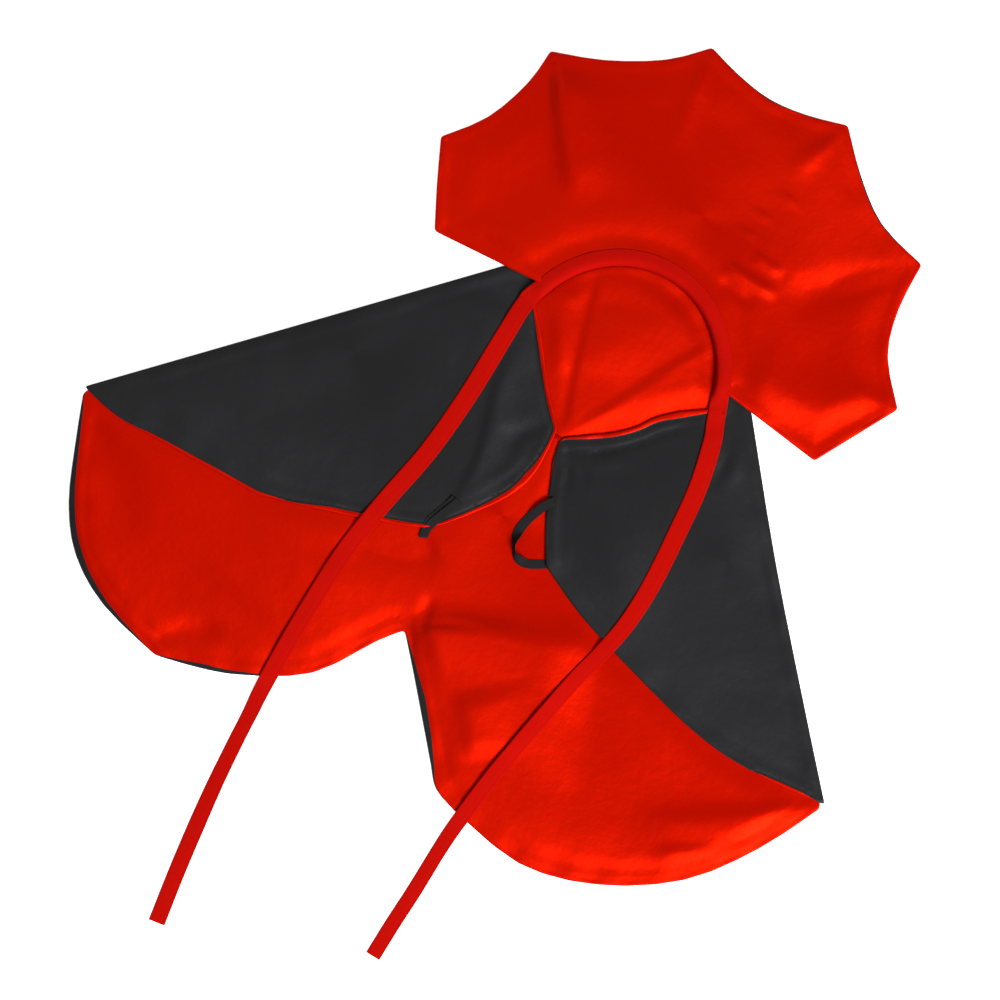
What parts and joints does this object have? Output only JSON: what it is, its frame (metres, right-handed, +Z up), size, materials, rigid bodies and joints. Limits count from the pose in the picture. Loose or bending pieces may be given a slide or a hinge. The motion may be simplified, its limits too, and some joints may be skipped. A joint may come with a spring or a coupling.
{
  "type": "pet costume cape",
  "caption": "Lined satin costume cape for a cat or small dog, laid flat, with a scalloped stand-up collar, neck ties, ribbon loops and a bat-wing hem.",
  "frame": {"origin": "middle of the neck opening, on the surface that the cape lies on", "axes": "+Y up the centre back towards the collar, +X to the cape's right as seen from above, across its greatest width, +Z up"},
  "size_m": [0.5, 0.6108, 0.008],
  "materials": {
    "black_satin": "semi-lustrous black polyester satin",
    "red_satin": "semi-lustrous scarlet polyester satin",
    "interlining": "stiff white non-woven",
    "red_tape": "matte red woven tape",
    "black_ribbon": "matte black ribbon",
    "red_thread": "matte red thread"
  },
  "bodies": {
    "cape": {"back_outer": "black_satin", "back_lining": "red_satin", "left_front_outer": "black_satin", "left_front_lining": "red_satin", "right_front_outer": "black_satin", "right_front_lining": "red_satin", "closure_tack": "red_thread", "tie_left": "red_tape", "tie_right": "red_tape"},
    "collar": {"collar_back": "black_satin", "collar_interlining": "interlining", "collar_face": "red_satin", "neck_tape": "red_tape"},
    "loop_left": {"left_loop": "black_ribbon"},
    "loop_right": {"right_loop": "black_ribbon"}
  },
  "joints": [
    {"name": "collar_stand", "type": "hinge", "parent": "cape", "child": "collar", "pos_m": [0, -0.008, 0.00305], "axis": [1, 0, 0], "range_deg": [0, 90]},
    {"name": "left_loop_flip", "type": "hinge", "parent": "cape", "child": "loop_left", "pos_m": [-0.0422, -0.1325, 0.00415], "axis": [-0.9814, 0.192, 0], "range_deg": [0, 150]},
    {"name": "right_loop_flip", "type": "hinge", "parent": "cape", "child": "loop_right", "pos_m": [0.0059, -0.1131, 0.0022], "axis": [-0.4718, 0.8817, 0], "range_deg": [0, 100]}
  ]
}
